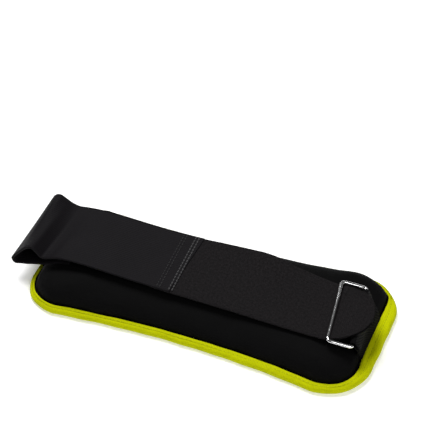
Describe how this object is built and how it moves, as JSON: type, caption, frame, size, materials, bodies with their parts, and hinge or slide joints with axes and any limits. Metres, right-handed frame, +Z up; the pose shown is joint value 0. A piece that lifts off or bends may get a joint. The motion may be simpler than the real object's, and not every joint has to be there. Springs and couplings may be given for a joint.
{
  "type": "ankle cuff weight",
  "caption": "Padded ankle cuff weight lying open, with filled pockets, a bound rim, and an elastic and hook-tape strap folded back over the pad through a rectangular wire ring.",
  "frame": {"origin": "centre of the pad's underside, the face that lies against the leg", "axes": "+X along the pad from the folded strap loop to the ring; +Z up out of the padded outer face; +Y across the pad"},
  "size_m": [0.2609, 0.111, 0.0331],
  "materials": {
    "cover": "smooth knitted neoprene, soft sheen",
    "lining": "brushed loop lining",
    "pouch": "thin woven nylon",
    "iron_fill": "iron granules",
    "binding": "folded woven tape, bright lime",
    "elastic": "ribbed elastic webbing",
    "hook_tape": "back of hook tape, fine mottled weave",
    "ring_wire": "polished nickel-chrome wire",
    "webbing": "flat webbing",
    "thread": "sewing thread"
  },
  "bodies": {
    "pocket_1": {"anchor_stitches": "thread", "binding_end_1": "binding", "elastic_strap_1": "elastic", "iron_fill_1": "iron_fill", "lining_1": "lining", "outer_cover_1": "cover", "pouch_1": "pouch", "strap_anchor": "elastic", "strap_loop": "elastic"},
    "pocket_2": {"binding_front_2": "binding", "binding_rear_2": "binding", "elastic_strap_2": "elastic", "iron_fill_2": "iron_fill", "join_stitches": "thread", "lining_2": "lining", "outer_cover_2": "cover", "pouch_2": "pouch", "strap_join": "hook_tape"},
    "pocket_3": {"binding_front_3": "binding", "binding_rear_3": "binding", "hook_tape_3": "hook_tape", "iron_fill_3": "iron_fill", "lining_3": "lining", "outer_cover_3": "cover", "pouch_3": "pouch"},
    "pocket_4": {"binding_front_4": "binding", "binding_rear_4": "binding", "hook_tape_4": "hook_tape", "iron_fill_4": "iron_fill", "lining_4": "lining", "outer_cover_4": "cover", "pouch_4": "pouch"},
    "pocket_5": {"binding_end_5": "binding", "hook_tape_5": "hook_tape", "iron_fill_5": "iron_fill", "lining_5": "lining", "outer_cover_5": "cover", "pouch_5": "pouch", "ring_keeper": "webbing"},
    "ring": {"ring": "ring_wire"},
    "free_end": {"strap_tip": "hook_tape"}
  },
  "joints": [
    {"name": "bend_2_3", "type": "hinge", "parent": "pocket_3", "child": "pocket_2", "pos_m": [-0.0248, 0, 0], "axis": [0, -1, 0], "range_deg": [0, 66]},
    {"name": "bend_1_2", "type": "hinge", "parent": "pocket_2", "child": "pocket_1", "pos_m": [-0.0744, 0, 0], "axis": [0, -1, 0], "range_deg": [0, 66]},
    {"name": "bend_3_4", "type": "hinge", "parent": "pocket_3", "child": "pocket_4", "pos_m": [0.0248, 0, 0], "axis": [0, 1, 0], "range_deg": [0, 66]},
    {"name": "bend_4_5", "type": "hinge", "parent": "pocket_4", "child": "pocket_5", "pos_m": [0.0744, 0, 0], "axis": [0, 1, 0], "range_deg": [0, 66]},
    {"name": "ring_swing", "type": "hinge", "parent": "pocket_5", "child": "ring", "pos_m": [0.10626, 0.00005, 0.0231], "axis": [-0.1478, 0.989, 0], "range_deg": [0, 75]},
    {"name": "free_end_lift", "type": "hinge", "parent": "pocket_5", "child": "free_end", "pos_m": [0.099, 0, 0.0269], "axis": [0, -1, 0], "range_deg": [0, 45]}
  ]
}
